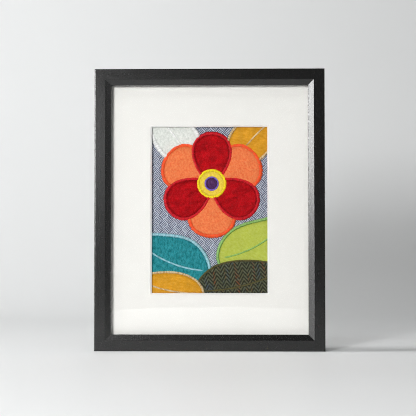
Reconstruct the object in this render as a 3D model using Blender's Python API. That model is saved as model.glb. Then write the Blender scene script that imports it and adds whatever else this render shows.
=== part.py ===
"""Framed textile picture: a mitred wooden picture frame with glazing, a window mat, a backing board held
by steel tabs, and an applique picture of a flower and leaves sewn on a tweed ground.

The frame stands upright on its flat bottom edge, front towards -Y, +Z up, bottom centre at the origin.
Lengths are in millimetres in the tables and are turned into metres where a mesh is made.
"""
import math

import bmesh
import bpy
import numpy as np

MM = 0.001

# Moulding, all round. Offsets run outward from the sight edge, depths run back from the front face.
SIGHT_W, SIGHT_H = 193.2, 244.0
RAIL_W = 16.0
RAIL_DEPTH = 25.0
BEVEL_W = 5.4
BEVEL_DEPTH = 3.0
LIP_BACK = 8.0
REBATE = 5.3
ARRIS = 0.5
GAP = 0.3
OUTER_W, OUTER_H = SIGHT_W + 2 * RAIL_W, SIGHT_H + 2 * RAIL_W

# What lies in the rebate, from the front: glazing, mat, textile, backing board and tabs.
PANEL_W, PANEL_H = 203.2, 254.0
GLASS_T = 2.0
MAT_T = 1.4
WINDOW_W, WINDOW_H = 113.6, 163.4
CLOTH_W, CLOTH_H = 184.0, 234.0
GROUND_T = 1.0
BOARD_T = 3.0
STITCH_RISE = 2.8
TAB_W, TAB_T, TAB_REACH, TAB_IN = 12.0, 0.8, 9.0, 5.0

GLASS_Y = LIP_BACK + GAP
MAT_Y = GLASS_Y + GLASS_T + GAP
GROUND_Y = MAT_Y + MAT_T + GAP + STITCH_RISE + 0.1
BOARD_Y = GROUND_Y + GROUND_T + GAP
TAB_Y = BOARD_Y + BOARD_T + GAP

# Applique cloth and its stitching, heights above the ground cloth.
PATCH_LOW, PATCH_HIGH = 0.3, 1.5
BAND_HALF = 1.25
# outward offset, height: the section of a satin-stitched edging
BAND_SECTION = ((1.25, 0.3), (1.25, 1.1), (0.45, 2.1), (-0.7, 2.1), (-1.25, 1.6), (-1.25, 0.3))
# sideways offset, height: the section of a stitched leaf vein
VEIN_SECTION = ((0.8, 1.8), (0.45, 2.8), (-0.45, 2.8), (-0.8, 1.8))
VEIN_STATIONS = 12
OUTLINE_POINTS = 40
TIP_ROUND = 0.45

# Cloths: colour and thread colour, linear.
CLOTHS = {
    "white": ((0.77, 0.80, 0.75), (0.96, 0.96, 0.95)),
    "ochre": ((0.70, 0.33, 0.027), (0.75, 0.61, 0.38)),
    "teal": ((0.023, 0.238, 0.270), (0.402, 0.672, 0.753)),
    "lime": ((0.434, 0.509, 0.093), (0.304, 0.565, 0.181)),
    "tweed": ((0.060, 0.060, 0.034), (0.127, 0.107, 0.032)),
    "orange": ((0.863, 0.209, 0.074), (0.973, 0.089, 0.021)),
    "red": ((0.440, 0.008, 0.014), (0.680, 0.008, 0.023)),
    "yellow": ((0.831, 0.617, 0.076), (0.956, 0.839, 0.013)),
    "plum": ((0.080, 0.026, 0.102), (0.223, 0.141, 0.680)),
}
FLOWER_X, FLOWER_Z = 2.0, 26.0

# Bottom layer first. Start of the middle line (x, z from the window's centre), length, width, heading and
# bend in degrees, how pointed the far end and the near end are, and whether a vein is stitched on.
MOTIFS = (
    # name, cloth, x, z, length, width, heading, bend, far, near, vein
    ("leaf_white", "white", -18.0, 46.0, 72.0, 40.0, 130.0, 30.0, 1.0, 0.3, True),
    ("leaf_ochre", "ochre", 24.0, 45.0, 72.0, 40.0, 46.0, -30.0, 1.0, 0.3, True),
    ("leaf_teal", "teal", 0.0, -60.0, 86.0, 56.0, 156.0, -46.0, 0.9, 0.1, True),
    ("leaf_lime", "lime", 8.0, -48.0, 84.0, 50.0, 30.0, 46.0, 0.9, 0.1, True),
    ("leaf_tweed", "tweed", -14.0, -80.0, 94.0, 52.0, 14.0, 30.0, 0.9, 0.2, True),
    ("leaf_small", "ochre", -6.0, -82.0, 70.0, 38.0, 168.0, -30.0, 0.9, 0.2, True),
    ("petal_right", "orange", FLOWER_X, FLOWER_Z, 52.0, 45.0, 30.0, 0.0, 0.0, 0.9, False),
    ("petal_left", "orange", FLOWER_X, FLOWER_Z, 52.0, 45.0, 150.0, 0.0, 0.0, 0.9, False),
    ("petal_low", "orange", FLOWER_X, FLOWER_Z, 52.0, 45.0, 270.0, 0.0, 0.0, 0.9, False),
    ("petal_high", "red", FLOWER_X, FLOWER_Z, 50.0, 38.0, 90.0, 0.0, 0.0, 0.9, False),
    ("petal_low_left", "red", FLOWER_X, FLOWER_Z, 50.0, 38.0, 210.0, 0.0, 0.0, 0.9, False),
    ("petal_low_right", "red", FLOWER_X, FLOWER_Z, 50.0, 38.0, 330.0, 0.0, 0.0, 0.9, False),
    ("flower_disc", "yellow", FLOWER_X - 13.5, FLOWER_Z, 27.0, 27.0, 0.0, 0.0, 0.0, 0.0, False),
    ("flower_eye", "plum", FLOWER_X - 6.5, FLOWER_Z, 13.0, 13.0, 0.0, 0.0, 0.0, 0.0, False),
)


def clear_scene():
    """Removes every object, so that the script starts from nothing."""
    for item in list(bpy.data.objects):
        bpy.data.objects.remove(item, do_unlink=True)


def new_collection(name):
    """A collection linked to the scene."""
    group = bpy.data.collections.new(name)
    bpy.context.scene.collection.children.link(group)
    return group


def material(name, colour, roughness, metallic=0.0, alpha=1.0):
    """A Principled material."""
    made = bpy.data.materials.new(name)
    made.use_nodes = True
    shader = made.node_tree.nodes["Principled BSDF"]
    shader.inputs["Base Color"].default_value = (*colour, 1.0)
    shader.inputs["Roughness"].default_value = roughness
    shader.inputs["Metallic"].default_value = metallic
    shader.inputs["Alpha"].default_value = alpha
    return made


def place(x, depth, z):
    """A point given in millimetres from the frame's middle and its front face, in metres."""
    return (x * MM, (depth - RAIL_DEPTH / 2) * MM, (z + OUTER_H / 2) * MM)


def add_solid(name, points, faces, surface, group):
    """A closed body from points in millimetres, with its faces turned outward."""
    mesh = bpy.data.meshes.new(name)
    mesh.from_pydata([place(*point) for point in points], [], faces)
    shape = bmesh.new()
    shape.from_mesh(mesh)
    bmesh.ops.recalc_face_normals(shape, faces=shape.faces)
    shape.to_mesh(mesh)
    shape.free()
    mesh.materials.append(surface)
    made = bpy.data.objects.new(name, mesh)
    group.objects.link(made)
    return made


def box(name, low, high, surface, group):
    """A box between two corners."""
    points = [(x, y, z) for x in (low[0], high[0]) for y in (low[1], high[1]) for z in (low[2], high[2])]
    faces = [(0, 1, 3, 2), (4, 6, 7, 5), (0, 4, 5, 1), (2, 3, 7, 6), (0, 2, 6, 4), (1, 5, 7, 3)]
    return add_solid(name, points, faces, surface, group)


def joined_rings(rings, closed_section, closed_path):
    """Points and faces of a skin over equal rings; open sections or paths are capped at their ends."""
    count = len(rings[0])
    points = [point for ring in rings for point in ring]
    faces = []
    for row in range(len(rings) if closed_section else len(rings) - 1):
        after = (row + 1) % len(rings)
        for column in range(count if closed_path else count - 1):
            beside = (column + 1) % count
            faces.append((row * count + column, row * count + beside, after * count + beside,
                          after * count + column))
    if not closed_section:
        faces.append(tuple(range(count)))
        faces.append(tuple((len(rings) - 1) * count + column for column in range(count)))
    if not closed_path:
        faces.append(tuple(row * count for row in range(len(rings))))
        faces.append(tuple(row * count + count - 1 for row in range(len(rings))))
    return points, faces


def cut(target, cutter):
    """Takes the cutter's volume out of the target."""
    step = target.modifiers.new("cut " + cutter.name, "BOOLEAN")
    step.operation = "DIFFERENCE"
    step.solver = "EXACT"
    step.object = cutter


# The frame

RAIL_PROFILE = (
    (RAIL_W, RAIL_DEPTH), (RAIL_W, ARRIS), (RAIL_W - ARRIS, 0.0), (BEVEL_W, 0.0), (0.0, BEVEL_DEPTH),
    (0.0, LIP_BACK), (REBATE, LIP_BACK), (REBATE, RAIL_DEPTH),
)


def rail(name, turn, surface, group):
    """One mitred rail. Its section lies at both ends, each point as far along as it stands outward.

    The rail is laid out along the bottom of the frame and turned by quarter turns to its side.
    """
    half_along, half_across = (SIGHT_W / 2, SIGHT_H / 2) if turn % 2 == 0 else (SIGHT_H / 2, SIGHT_W / 2)
    cos, sin = (1, 0, -1, 0)[turn], (0, 1, 0, -1)[turn]
    ends = []
    for side in (-1, 1):
        ring = []
        for out, depth in RAIL_PROFILE:
            along, across = side * (half_along + out - GAP / 2), -(half_across + out)
            ring.append((along * cos - across * sin, depth, along * sin + across * cos))
        ends.append(ring)
    points, faces = joined_rings(ends, False, True)
    return add_solid(name, points, faces, surface, group)


def window_mat(surface, group):
    """The mat: a board with a window whose edge slopes at 45 degrees, wider at the front."""
    sizes = ((PANEL_W, PANEL_H, MAT_Y), (WINDOW_W + 2 * MAT_T, WINDOW_H + 2 * MAT_T, MAT_Y),
             (WINDOW_W, WINDOW_H, MAT_Y + MAT_T), (PANEL_W, PANEL_H, MAT_Y + MAT_T))
    rings = [[(a * w / 2, depth, b * h / 2) for a, b in ((-1, -1), (1, -1), (1, 1), (-1, 1))]
             for w, h, depth in sizes]
    points, faces = joined_rings(rings, True, True)
    return add_solid("window_mat", points, faces, surface, group)


def tab_boxes():
    """Centre and direction of each steel tab: two at each side, one at the top and one at the bottom."""
    half_w, half_h = SIGHT_W / 2 + REBATE, SIGHT_H / 2 + REBATE
    yield "tab_top", (0.0, half_h), (0, 1), "rail_top"
    yield "tab_bottom", (0.0, -half_h), (0, -1), "rail_bottom"
    for level, height in (("high", 70.0), ("low", -70.0)):
        yield "tab_left_" + level, (-half_w, height), (-1, 0), "rail_left"
        yield "tab_right_" + level, (half_w, height), (1, 0), "rail_right"


def tab(name, wall, way, extra, surface, group):
    """A flat steel tab that lies over the backing board and enters a slot in the rail's rebate wall."""
    ends = (-TAB_REACH - extra, TAB_IN + extra)
    xs = sorted(wall[0] + way[0] * e for e in ends) if way[0] else (wall[0] - TAB_W / 2 - extra,
                                                                    wall[0] + TAB_W / 2 + extra)
    zs = sorted(wall[1] + way[1] * e for e in ends) if way[1] else (wall[1] - TAB_W / 2 - extra,
                                                                    wall[1] + TAB_W / 2 + extra)
    return box(name, (xs[0], TAB_Y - extra, zs[0]), (xs[1], TAB_Y + TAB_T + extra, zs[1]), surface, group)


# The applique picture

def middle_line(x, z, length, heading, bend, along):
    """Points and directions of a motif's middle line, an arc that starts at x, z and turns by the bend."""
    start, turn = math.radians(heading - bend / 2), math.radians(bend)
    angle = start + turn * along
    if abs(turn) < 1e-6:
        return x + length * along * math.cos(start), z + length * along * math.sin(start), angle
    return (x + length * (np.sin(angle) - math.sin(start)) / turn,
            z - length * (np.cos(angle) - math.cos(start)) / turn, angle)


def outline(x, z, length, width, heading, bend, far, near):
    """A motif's sewn line, points and outward normals, counter-clockwise as seen from the front.

    With a from 0 to a full turn, the place along the middle line is (1 + cos a)/2. The half width is
    sin a, narrowed towards the far end by ((sin(a/2)^2 + r^2)/(1 + r^2))^(far/2) and towards the near
    end by ((cos(a/2)^2 + r^2)/(1 + r^2))^(near/2), where r rounds the tips, and scaled to the width.
    """
    a = np.linspace(0.0, 2 * math.pi, OUTLINE_POINTS, endpoint=False) + math.pi / OUTLINE_POINTS
    round_2 = TIP_ROUND ** 2
    half = (np.sin(a) * ((np.sin(a / 2) ** 2 + round_2) / (1 + round_2)) ** (far / 2)
            * ((np.cos(a / 2) ** 2 + round_2) / (1 + round_2)) ** (near / 2))
    half *= width / 2 / np.abs(half).max()
    px, pz, angle = middle_line(x, z, length, heading, bend, (1 + np.cos(a)) / 2)
    line = np.stack([px - half * np.sin(angle), pz + half * np.cos(angle)], axis=1)
    along = np.roll(line, -1, axis=0) - np.roll(line, 1, axis=0)
    along /= np.linalg.norm(along, axis=1)[:, None]
    return line, np.stack([along[:, 1], -along[:, 0]], axis=1)


def ring_at(line, normals, offset, height):
    """The sewn line moved outward by an offset, at a height above the ground cloth."""
    moved = line + offset * normals
    return [(x, GROUND_Y - height, z) for x, z in moved]


def motif(row, cloths, threads, group, cutters):
    """One applique patch, its stitched edging, its vein if it has one, and the cutter for what lies under."""
    name, cloth, x, z, length, width, heading, bend, far, near, has_vein = row
    line, normals = outline(x, z, length, width, heading, bend, far, near)
    inset = -(BAND_HALF + GAP)
    patch = add_solid(name, *joined_rings([ring_at(line, normals, inset, PATCH_LOW),
                                           ring_at(line, normals, inset, PATCH_HIGH)], False, True),
                      cloths[cloth], group)
    band = add_solid(name + "_edging", *joined_rings([ring_at(line, normals, o, h) for o, h in BAND_SECTION],
                                                     True, True), threads[cloth], group)
    cutter = add_solid("under_" + name, *joined_rings([ring_at(line, normals, -inset, -1.0),
                                                       ring_at(line, normals, -inset, 4.0)], False, True),
                       cloths[cloth], cutters)
    made = [patch, band]
    if has_vein:
        vx, vz, angle = middle_line(x, z, length, heading, bend, np.linspace(0.08, 0.8, VEIN_STATIONS))
        rings = [[(px - o * math.sin(t), GROUND_Y - h, pz + o * math.cos(t)) for px, pz, t in
                  zip(vx, vz, angle)] for o, h in VEIN_SECTION]
        made.append(add_solid(name + "_vein", *joined_rings(rings, True, False), threads[cloth], group))
    return made, cutter, line


def overlap(line, other):
    """True where the boxes around two sewn lines meet, with room for the edging."""
    room = 2 * (BAND_HALF + GAP)
    return bool(np.all(line.min(0) - room < other.max(0)) and np.all(other.min(0) - room < line.max(0)))


def main():
    clear_scene()
    group = new_collection("framed_textile_picture")
    cutters = new_collection("cutters")

    paint = material("black_painted_wood", (0.035, 0.036, 0.037), 0.42)
    glass = material("clear_glass", (0.95, 0.97, 0.97), 0.03, alpha=0.12)
    board = material("white_mat_board", (0.86, 0.86, 0.83), 0.85)
    ground = material("blue_tweed", (0.314, 0.347, 0.407), 0.9)
    back = material("brown_hardboard", (0.24, 0.14, 0.075), 0.8)
    steel = material("galvanised_steel", (0.55, 0.56, 0.58), 0.38, metallic=1.0)
    cloths = {name: material(name + "_cloth", pair[0], 0.9) for name, pair in CLOTHS.items()}
    threads = {name: material(name + "_thread", pair[1], 0.55) for name, pair in CLOTHS.items()}

    rails = {name: rail(name, turn, paint, group) for turn, name in
             enumerate(("rail_bottom", "rail_right", "rail_top", "rail_left"))}
    half_w, half_h = PANEL_W / 2, PANEL_H / 2
    box("glazing", (-half_w, GLASS_Y, -half_h), (half_w, GLASS_Y + GLASS_T, half_h), glass, group)
    window_mat(board, group)
    box("ground_cloth", (-CLOTH_W / 2, GROUND_Y, -CLOTH_H / 2),
        (CLOTH_W / 2, GROUND_Y + GROUND_T, CLOTH_H / 2), ground, group)
    box("backing_board", (-half_w, BOARD_Y, -half_h), (half_w, BOARD_Y + BOARD_T, half_h), back, group)
    for name, wall, way, host in tab_boxes():
        tab(name, wall, way, 0.0, steel, group)
        cut(rails[host], tab("slot_" + name, wall, way, GAP, steel, cutters))

    layers = [motif(row, cloths, threads, group, cutters) for row in MOTIFS]
    for index, (pieces, _, line) in enumerate(layers):
        for _, cutter, upper in layers[index + 1:]:
            if overlap(line, upper):
                for piece in pieces:
                    cut(piece, cutter)

    for cutter in cutters.objects:
        cutter.hide_render = True
        cutter.display_type = "WIRE"


main()
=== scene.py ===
"""Framed textile picture: the looks of its frame, glazing, mat and applique flower and leaves."""
import math
from collections import namedtuple

import bmesh
import bpy
import numpy as np
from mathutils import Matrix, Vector


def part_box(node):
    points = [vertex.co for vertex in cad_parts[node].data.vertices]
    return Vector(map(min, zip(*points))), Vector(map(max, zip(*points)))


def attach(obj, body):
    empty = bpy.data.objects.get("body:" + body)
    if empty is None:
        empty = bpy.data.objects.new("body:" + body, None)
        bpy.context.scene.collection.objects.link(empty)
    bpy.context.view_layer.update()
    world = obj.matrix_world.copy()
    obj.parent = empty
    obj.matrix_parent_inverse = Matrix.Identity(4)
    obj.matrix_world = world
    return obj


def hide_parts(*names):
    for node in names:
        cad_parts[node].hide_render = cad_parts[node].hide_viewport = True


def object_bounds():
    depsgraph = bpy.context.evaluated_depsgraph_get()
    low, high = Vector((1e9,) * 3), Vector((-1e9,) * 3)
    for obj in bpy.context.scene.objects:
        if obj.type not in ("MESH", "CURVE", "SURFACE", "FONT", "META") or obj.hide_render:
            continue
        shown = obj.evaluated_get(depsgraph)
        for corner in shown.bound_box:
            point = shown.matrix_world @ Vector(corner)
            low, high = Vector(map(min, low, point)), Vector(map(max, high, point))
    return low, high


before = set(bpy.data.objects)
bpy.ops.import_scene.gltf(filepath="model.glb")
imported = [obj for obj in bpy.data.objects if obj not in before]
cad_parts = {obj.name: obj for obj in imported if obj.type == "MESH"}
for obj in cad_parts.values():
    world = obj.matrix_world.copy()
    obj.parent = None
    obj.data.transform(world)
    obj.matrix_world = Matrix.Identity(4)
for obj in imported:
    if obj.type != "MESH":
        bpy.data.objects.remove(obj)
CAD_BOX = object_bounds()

bl_info = {
    "name": "Framed textile picture",
    "version": (1, 0, 0),
    "blender": (4, 5, 0),
    "location": "View3D > Sidebar > Textile picture",
    "description": "Builds a framed applique picture around its packed solids",
    "category": "Add Mesh",
}

MM = 0.001
CENTRE_Z = (CAD_BOX[0][2] + CAD_BOX[1][2]) / 2
GROUND_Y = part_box("ground_cloth")[0][1]

# The moulding: width and drop of its bevel, depth of its lip, width of its rebate, how round its section's
# corners are in shares of the arris, the rows of points along a rail, and the gap at a mitre.
BEVEL, DROP, LIP, REBATE = 5.4 * MM, 3.0 * MM, 8.0 * MM, 5.3 * MM
CORNER_SHARES = (0.6, 1.0, 0.12, 0.3, 0.6, 0.6, 0.6)
RAIL_ROWS = 25
MITRE_GAP = 0.03 * MM
# The mat's window, and the softened edges of its cut.
WINDOW = (113.6 * MM, 163.4 * MM)
CUT_EDGE = 0.12 * MM
# The tabs: outline in shares of half the length and breadth, and how round its corners and edges are.
TAB_PLAN = ((1.0, -1.0), (1.0, 1.0), (-0.55, 1.0), (-1.0, 0.45), (-1.0, -0.45), (-0.55, -1.0))
TAB_CORNER, TAB_EDGE = 1.2 * MM, 0.12 * MM

# The motifs, lowest first, in millimetres and degrees from the window's centre: where the middle line
# starts, its length, width, heading and bend, how pointed the far and near ends are, and if it is veined.
Motif = namedtuple("Motif", "name cloth x z length width heading bend far near vein")
FLOWER_X, FLOWER_Z = 2.0, 26.0
PETALS = (
    ("petal_right", "orange", 52.0, 45.0, 30.0), ("petal_left", "orange", 52.0, 45.0, 150.0),
    ("petal_low", "orange", 52.0, 45.0, 270.0), ("petal_high", "red", 50.0, 38.0, 90.0),
    ("petal_low_left", "red", 50.0, 38.0, 210.0), ("petal_low_right", "red", 50.0, 38.0, 330.0),
)
MOTIFS = [Motif(*row) for row in (
    ("leaf_white", "white", -18.0, 46.0, 72.0, 40.0, 130.0, 30.0, 1.0, 0.3, True),
    ("leaf_ochre", "ochre", 24.0, 45.0, 72.0, 40.0, 46.0, -30.0, 1.0, 0.3, True),
    ("leaf_teal", "teal", 0.0, -60.0, 86.0, 56.0, 156.0, -46.0, 0.9, 0.1, True),
    ("leaf_lime", "lime", 8.0, -48.0, 84.0, 50.0, 30.0, 46.0, 0.9, 0.1, True),
    ("leaf_tweed", "tweed", -14.0, -80.0, 94.0, 52.0, 14.0, 30.0, 0.9, 0.2, True),
    ("leaf_small", "ochre", -6.0, -82.0, 70.0, 38.0, 168.0, -30.0, 0.9, 0.2, True),
    *((name, cloth, FLOWER_X, FLOWER_Z, length, width, heading, 0.0, 0.0, 0.9, False)
      for name, cloth, length, width, heading in PETALS),
    ("flower_disc", "yellow", FLOWER_X - 13.5, FLOWER_Z, 27.0, 27.0, 0.0, 0.0, 0.0, 0.0, False),
    ("flower_eye", "plum", FLOWER_X - 6.5, FLOWER_Z, 13.0, 13.0, 0.0, 0.0, 0.0, 0.0, False),
)]
TIP_ROUND = 0.45
VEIN_SPAN = (0.08, 0.8)

# The cloths: millimetres between points, height of a face over the ground and where another cloth presses on
# it, and, in metres, how thick a cloth and the ground are.
POINT_SPACE = 1.1
CLOTH_HEIGHT, PRESSED_HEIGHT = 1.0, 0.42
CLOTH_THICK, GROUND_THICK = 0.3 * MM, 0.8 * MM

# A row of stitches: where points lie along one stitch, how many lie across, how much and over which lengths
# the row's half width swells, and how high the ridge of a stitch is.
STITCH_POINTS = np.array([0.0, 0.34, 0.67])
ROW_POINTS = 8
SWELL, SWELL_LENGTHS = 0.09, (5.0, 3.1, 8.7)
RIDGE = 0.16
# Where the random draws of each kind of piece start.
GROUND_SEED, EDGING_SEED, VEIN_SEED, CLOTH_SEED = 7, 100, 200, 300

# Of each cloth: its colour, its thread's, the tone that shows where the stitching thins out and that is
# painted as shade at the stitches' inner ends, how much of that tone shows where the stitching thins out and
# how much painted shade lies at the inner ends, and its edging's width in shares of the setting.
CLOTHS = {
    "white": ((0.76, 0.79, 0.745), (0.96, 0.96, 0.95), (0.60, 0.63, 0.60), 0.55, 0.3, 1.65),
    "ochre": ((0.71, 0.34, 0.025), (0.75, 0.61, 0.38), (0.42, 0.22, 0.06), 0.75, 0.3, 0.95),
    "teal": ((0.024, 0.248, 0.281), (0.402, 0.672, 0.753), (0.13, 0.42, 0.50), 0.6, 0.2, 1.1),
    "lime": ((0.49, 0.557, 0.091), (0.304, 0.565, 0.181), (0.13, 0.27, 0.035), 0.35, 1.0, 1.1),
    "tweed": ((0.016, 0.018, 0.011), (0.127, 0.107, 0.032), (0.035, 0.035, 0.018), 0.55, 0.3, 0.8),
    "orange": ((0.865, 0.222, 0.077), (0.973, 0.089, 0.021), (0.86, 0.17, 0.05), 0.7, 0.3, 1.25),
    "red": ((0.480, 0.005, 0.010), (0.700, 0.010, 0.022), (0.40, 0.004, 0.012), 0.6, 0.5, 1.2),
    "yellow": ((0.87, 0.66, 0.074), (0.956, 0.839, 0.013), (0.83, 0.58, 0.03), 0.6, 0.2, 1.1),
    "plum": ((0.092, 0.032, 0.125), (0.223, 0.141, 0.680), (0.10, 0.05, 0.30), 0.5, 0.2, 0.7),
}


def colour(name, description, default):
    """A colour setting."""
    return bpy.props.FloatVectorProperty(name=name, description=description, default=default, size=3,
                                         subtype="COLOR", min=0.0, max=1.0)


def colour_settings(kind, which):
    """One colour setting for each cloth."""
    return {name: colour(name.capitalize() + " " + kind, "Colour of the " + name + " " + kind, look[which])
            for name, look in CLOTHS.items()}


def number(name, description, default, **kind):
    """A number setting that isn't below 0."""
    return bpy.props.FloatProperty(name=name, description=description, default=default, min=0.0, **kind)


def distance(name, description, default):
    """A length setting, in metres."""
    return number(name, description, default, subtype="DISTANCE", unit="LENGTH")


class ClothColours(bpy.types.PropertyGroup):
    """Colours of the applique cloths."""

    __annotations__ = colour_settings("cloth", 0)


class ThreadColours(bpy.types.PropertyGroup):
    """Colours of the stitching, one for each cloth."""

    __annotations__ = colour_settings("thread", 1)


class PictureSettings(bpy.types.PropertyGroup):
    """Sizes, colours and studio of the framed textile picture."""

    cloths: bpy.props.PointerProperty(type=ClothColours, name="Cloths", description="Applique cloth colours")
    threads: bpy.props.PointerProperty(type=ThreadColours, name="Threads", description="Stitching colours")
    paint: colour("Frame paint", "Colour of the painted moulding", (0.008, 0.008, 0.008))
    paint_roughness: number("Paint roughness", "How dull the moulding's paint is", 0.23, max=1.0,
                            subtype="FACTOR")
    board: colour("Mat board", "Colour of the mat's paper face", (0.865, 0.857, 0.822))
    arris: distance("Arris", "Radius of the moulding's rounded outer edge", 0.0011)
    edging: distance("Edging half width", "Half the width of a stitched edging", 0.0014)
    stitch: distance("Stitch pitch", "Distance from one satin stitch to the next", 0.00042)
    puff: distance("Puff", "How far an applique cloth swells between its edgings", 0.00045)
    ground_dark: colour("Ground navy", "Dark yarn of the ground tweed", (0.088, 0.104, 0.165))
    ground_light: colour("Ground white", "Light yarn of the ground tweed", (0.58, 0.625, 0.71))
    camera_distance: distance("Camera distance", "From the frame to the camera", 1.2)
    light: number("Light", "Strength of all the lamps together", 1.0)


# Shapes

def middle_line(motif, along):
    """Points and directions of the middle line, an arc: heading - bend/2 + bend * along is its direction."""
    start, turn = math.radians(motif.heading - motif.bend / 2), math.radians(motif.bend)
    angle = start + turn * along
    if abs(turn) < 1e-6:
        return (motif.x + motif.length * along * math.cos(start),
                motif.z + motif.length * along * math.sin(start), angle)
    return (motif.x + motif.length * (np.sin(angle) - math.sin(start)) / turn,
            motif.z - motif.length * (np.cos(angle) - math.cos(start)) / turn, angle)


def half_width(motif, a):
    """Signed half width at a, from 0 to a full turn: sin a, narrowed to the far and the near end.

    The narrowing is ((sin(a/2)^2 + r^2)/(1 + r^2))^(far/2) and the same with cos for the near end.
    """
    def shape(b):
        r = TIP_ROUND ** 2
        return (np.sin(b) * ((np.sin(b / 2) ** 2 + r) / (1 + r)) ** (motif.far / 2)
                * ((np.cos(b / 2) ** 2 + r) / (1 + r)) ** (motif.near / 2))
    widest = shape(np.linspace(0.0, math.pi, 721)).max()
    return shape(a) / widest * motif.width / 2


def outline(motif, count=480):
    """The sewn line as points all round, in millimetres."""
    a = np.linspace(0.0, 2 * math.pi, count, endpoint=False)
    half = half_width(motif, a)
    px, pz, angle = middle_line(motif, (1 + np.cos(a)) / 2)
    return np.stack([px - half * np.sin(angle), pz + half * np.cos(angle)], axis=1)


def signed_distance(points, line):
    """Distance from points to a closed line, negative inside.

    It is that to the nearest segment, with the sign from how many segments a ray along +x crosses.
    """
    start, after = line, np.roll(line, -1, axis=0)
    span = after - start
    gap = points[:, None, :] - start[None]
    part = np.clip((gap * span).sum(2) / (span ** 2).sum(1), 0.0, 1.0)
    away = np.linalg.norm(gap - part[..., None] * span[None], axis=2).min(1)
    high = start[None, :, 1] > points[:, None, 1]
    crosses = high != (after[None, :, 1] > points[:, None, 1])
    rise = np.where(np.abs(span[:, 1]) < 1e-9, 1e-9, span[:, 1])
    reach = start[None, :, 0] + gap[..., 1] / rise * span[:, 0]
    inside = (crosses & (reach > points[:, None, 0])).sum(1) % 2 == 1
    return np.where(inside, -away, away)


def ease(value):
    """0 below 0, 1 above 1, and 3v^2 - 2v^3 between."""
    v = np.clip(value, 0.0, 1.0)
    return v * v * (3 - 2 * v)


def on_picture(x, z, height):
    """Millimetres across and up from the window's centre and out of the ground, as points in metres."""
    x, z, height = np.broadcast_arrays(x, z, height)
    return np.stack([x * MM, GROUND_Y - height * MM, CENTRE_Z + z * MM], axis=-1)


def new_mesh(name, points, quads, uv=None, caps=(), smooth=True):
    """A mesh object from an array of points and an array of quads, with caps as lists of corners."""
    mesh = bpy.data.meshes.new(name)
    points = np.asarray(points, np.float32).reshape(-1, 3)
    quads = np.asarray(quads, np.int32).reshape(-1, 4)
    sizes = np.array([4] * len(quads) + [len(cap) for cap in caps], np.int32)
    flat = np.concatenate([quads.ravel(), *caps]).astype(np.int32)
    mesh.vertices.add(len(points))
    mesh.vertices.foreach_set("co", points.ravel())
    mesh.loops.add(len(flat))
    mesh.loops.foreach_set("vertex_index", flat)
    mesh.polygons.add(len(sizes))
    mesh.polygons.foreach_set("loop_start", (np.cumsum(sizes) - sizes).astype(np.int32))
    mesh.update(calc_edges=True)
    mesh.validate()
    if uv is not None:
        layer = mesh.uv_layers.new(name="UVMap")
        layer.data.foreach_set("uv", np.asarray(uv, np.float32).reshape(-1, 2)[flat].ravel())
    mesh.polygons.foreach_set("use_smooth", np.full(len(mesh.polygons), smooth))
    made = bpy.data.objects.new(name, mesh)
    bpy.context.scene.collection.objects.link(made)
    return made


def grid_quads(rows, columns, close_rows=False, close_columns=False):
    """Corner numbers of the quads of a grid of points, closed round either way where asked."""
    row = np.arange(rows if close_rows else rows - 1)[:, None]
    column = np.arange(columns if close_columns else columns - 1)[None]
    after, beside = (row + 1) % rows, (column + 1) % columns
    quads = np.stack(np.broadcast_arrays(row * columns + column, row * columns + beside,
                                         after * columns + beside, after * columns + column), axis=-1)
    return quads.reshape(-1, 4)


def tube(name, rows, uv=None, ring=False):
    """A skin over rows of points that each close round: a ring of rows, or a tube with a cap at each end."""
    count, columns = rows.shape[:2]
    caps = () if ring else [list(range(first, first + columns)) for first in (0, (count - 1) * columns)]
    return new_mesh(name, rows, grid_quads(count, columns, ring, True), uv, caps)


def tidy(piece, merge=0.00001, angle=None):
    """Merges doubled points, turns faces outward, and marks edges sharper than an angle in degrees."""
    shape = bmesh.new()
    shape.from_mesh(piece.data)
    bmesh.ops.remove_doubles(shape, verts=shape.verts, dist=merge)
    bmesh.ops.dissolve_degenerate(shape, edges=shape.edges, dist=merge / 10)
    bmesh.ops.recalc_face_normals(shape, faces=shape.faces)
    shape.to_mesh(piece.data)
    shape.free()
    if angle is not None:
        piece.data.set_sharp_from_angle(angle=math.radians(angle))


def face_way(piece, axis, sign):
    """Turns an open sheet so that its faces look along an axis, forward or back."""
    normals = np.empty(len(piece.data.polygons) * 3, np.float32)
    piece.data.polygons.foreach_get("normal", normals)
    if normals[axis::3].sum() * sign < 0:
        piece.data.flip_normals()


def thicken(piece, thickness):
    """Turns an open sheet to the front and gives it a thickness behind its face."""
    face_way(piece, 1, -1)
    solid = piece.modifiers.new("thickness", "SOLIDIFY")
    solid.thickness, solid.offset = thickness, -1.0


def finish_solid(node, material):
    """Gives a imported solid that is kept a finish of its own."""
    materials = bpy.data.objects[node].data.materials
    materials.clear()
    materials.append(material)


def dress(piece, node, slot, *materials):
    """Gives a piece its materials, hides the node that it replaces and hangs it on the body it rides on;
    slot is not used.
    """
    for material in materials:
        piece.data.materials.append(material)
    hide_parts(node)
    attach(piece, "root")
    return piece


def rounded(corners, radii, steps=4):
    """A closed section with its corners rounded, each by its own radius.

    Each corner is replaced by a curve from a radius before it to a radius after it, a quadratic blend of
    the two sides, with one more point just beyond each end so that the flats between stay flat.
    """
    points = []
    count = len(corners)
    for index, here in enumerate(corners):
        here, before, after = (np.array(p, float) for p in
                               (here, corners[index - 1], corners[(index + 1) % count]))
        back, ahead = before - here, after - here
        cut = min(radii[index], 0.4 * np.linalg.norm(back), 0.4 * np.linalg.norm(ahead))
        back, ahead = back / np.linalg.norm(back) * cut, ahead / np.linalg.norm(ahead) * cut
        t = np.linspace(0.0, 1.0, steps)[:, None]
        points += [(here + 1.15 * back)[None], here + (1 - t) ** 2 * back + t ** 2 * ahead,
                   (here + 1.15 * ahead)[None]]
    return np.concatenate(points)


# Materials

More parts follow.
